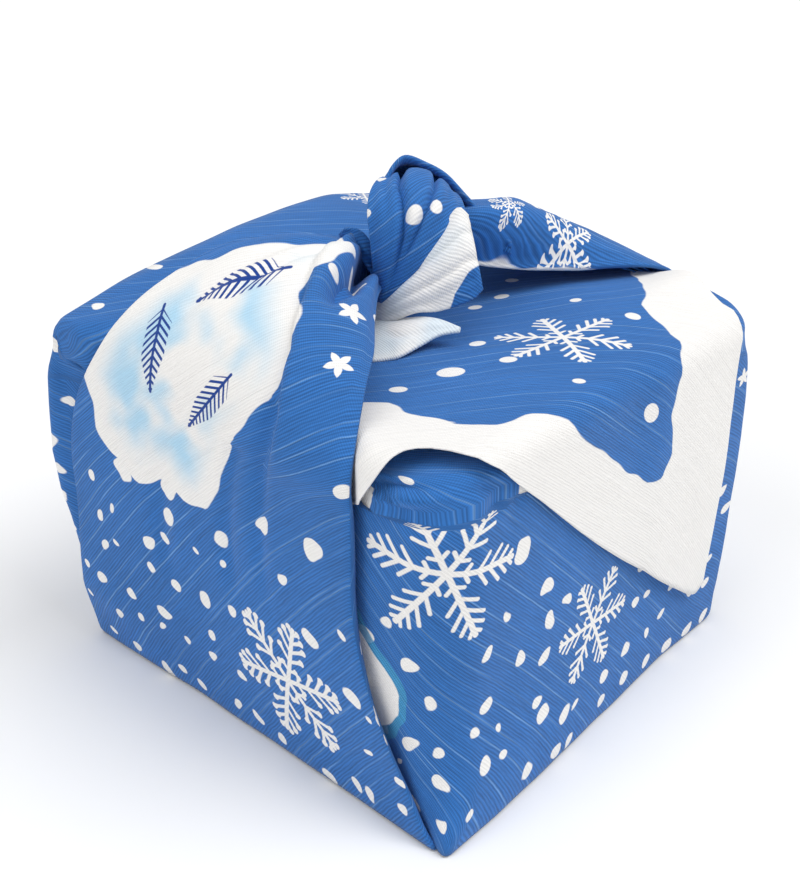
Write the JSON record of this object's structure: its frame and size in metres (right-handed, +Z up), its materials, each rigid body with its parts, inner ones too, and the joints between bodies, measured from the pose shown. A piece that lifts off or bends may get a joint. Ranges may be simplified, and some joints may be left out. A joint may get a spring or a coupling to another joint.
{
  "type": "furoshiki wrap tied round a box",
  "caption": "Square wrapping cloth folded round a box, with a flap down the front, a side pocket, two rising ties and one knot with two short free ends.",
  "frame": {"origin": "middle of the flat underside, on the surface it rests on", "axes": "+Z up; -Y is the face that the flap comes down, -X and +X are the faces whose cloth rises to the knot"},
  "size_m": [0.1769, 0.1747, 0.1756],
  "materials": {
    "printed_cotton": "ribbed woven cotton with a slubby weft, blue with white snow print, matte",
    "plain_card": "plain smooth card, matte"
  },
  "bodies": {
    "root": {"cloth": "printed_cotton", "box": "plain_card"}
  },
  "joints": []
}
